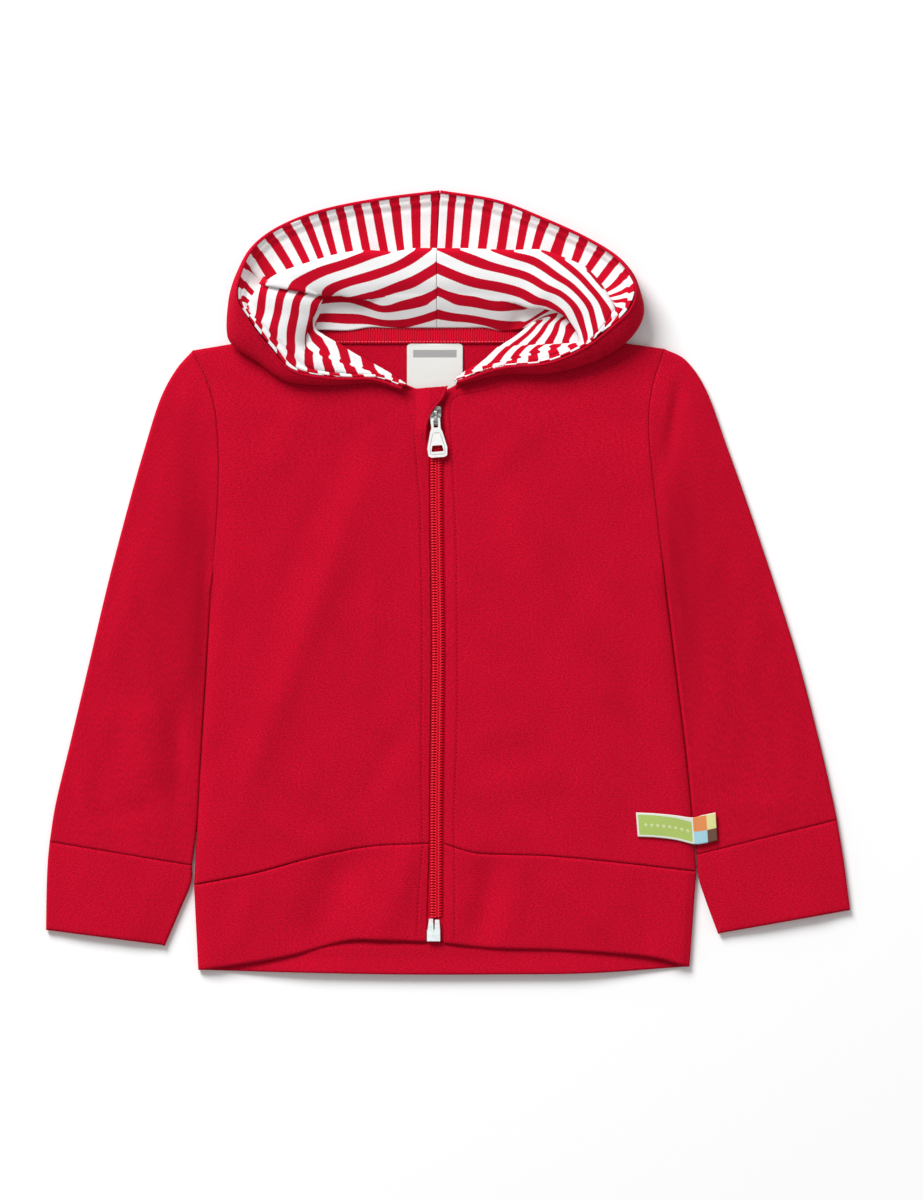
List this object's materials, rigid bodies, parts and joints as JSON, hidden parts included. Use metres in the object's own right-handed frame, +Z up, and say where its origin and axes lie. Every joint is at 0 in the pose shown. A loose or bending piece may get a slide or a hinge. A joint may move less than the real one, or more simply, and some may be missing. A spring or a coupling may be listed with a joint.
{
  "type": "kids hoodie",
  "caption": "Child's zip-front hooded jacket laid flat, front up, with a striped hood lining, hem band and cuffs.",
  "frame": {"origin": "middle of the garment's box on the surface it lies on", "axes": "+X to the viewer's right, +Y from the hem to the hood, +Z up out of the front"},
  "size_m": [0.5386, 0.5251, 0.028],
  "materials": {
    "red_jersey": "brushed cotton jersey, matt, fine heathered grain",
    "striped_jersey": "single jersey with red and white stripes",
    "twill_tape": "cotton twill tape",
    "size_label": "white satin label, bare",
    "side_label": "woven label with plain coloured blocks",
    "zip_tape": "woven polyester tape",
    "zip_coil": "nylon coil",
    "zip_metal": "die-cast metal, part enamelled",
    "white_enamel": "glossy white enamel",
    "zip_stop": "translucent white plastic"
  },
  "bodies": {
    "garment": {"back_panel": "red_jersey", "front_left": "red_jersey", "front_right": "red_jersey", "sleeve_left": "red_jersey", "sleeve_right": "red_jersey", "cuff_left": "red_jersey", "cuff_right": "red_jersey", "hem_band": "red_jersey", "hood_outer_left": "red_jersey", "hood_outer_right": "red_jersey", "hood_lining_left": "striped_jersey", "hood_lining_right": "striped_jersey", "hood_fold": "striped_jersey", "chin_guard": "red_jersey", "neck_tape": "twill_tape", "size_label": "size_label", "side_label": "side_label", "zip_tape_left": "zip_tape", "zip_tape_right": "zip_tape", "zip_chain": "zip_coil", "zip_slider": "zip_metal", "zip_stop": "zip_stop"},
    "zip_pull": {"pull_tab": "white_enamel"}
  },
  "joints": [
    {"name": "zip_pull_hinge", "type": "hinge", "parent": "garment", "child": "zip_pull", "pos_m": [-0.0078, 0.1089, 0.00925], "axis": [-0.9976, -0.0698, 0], "range_deg": [0, 150]}
  ]
}
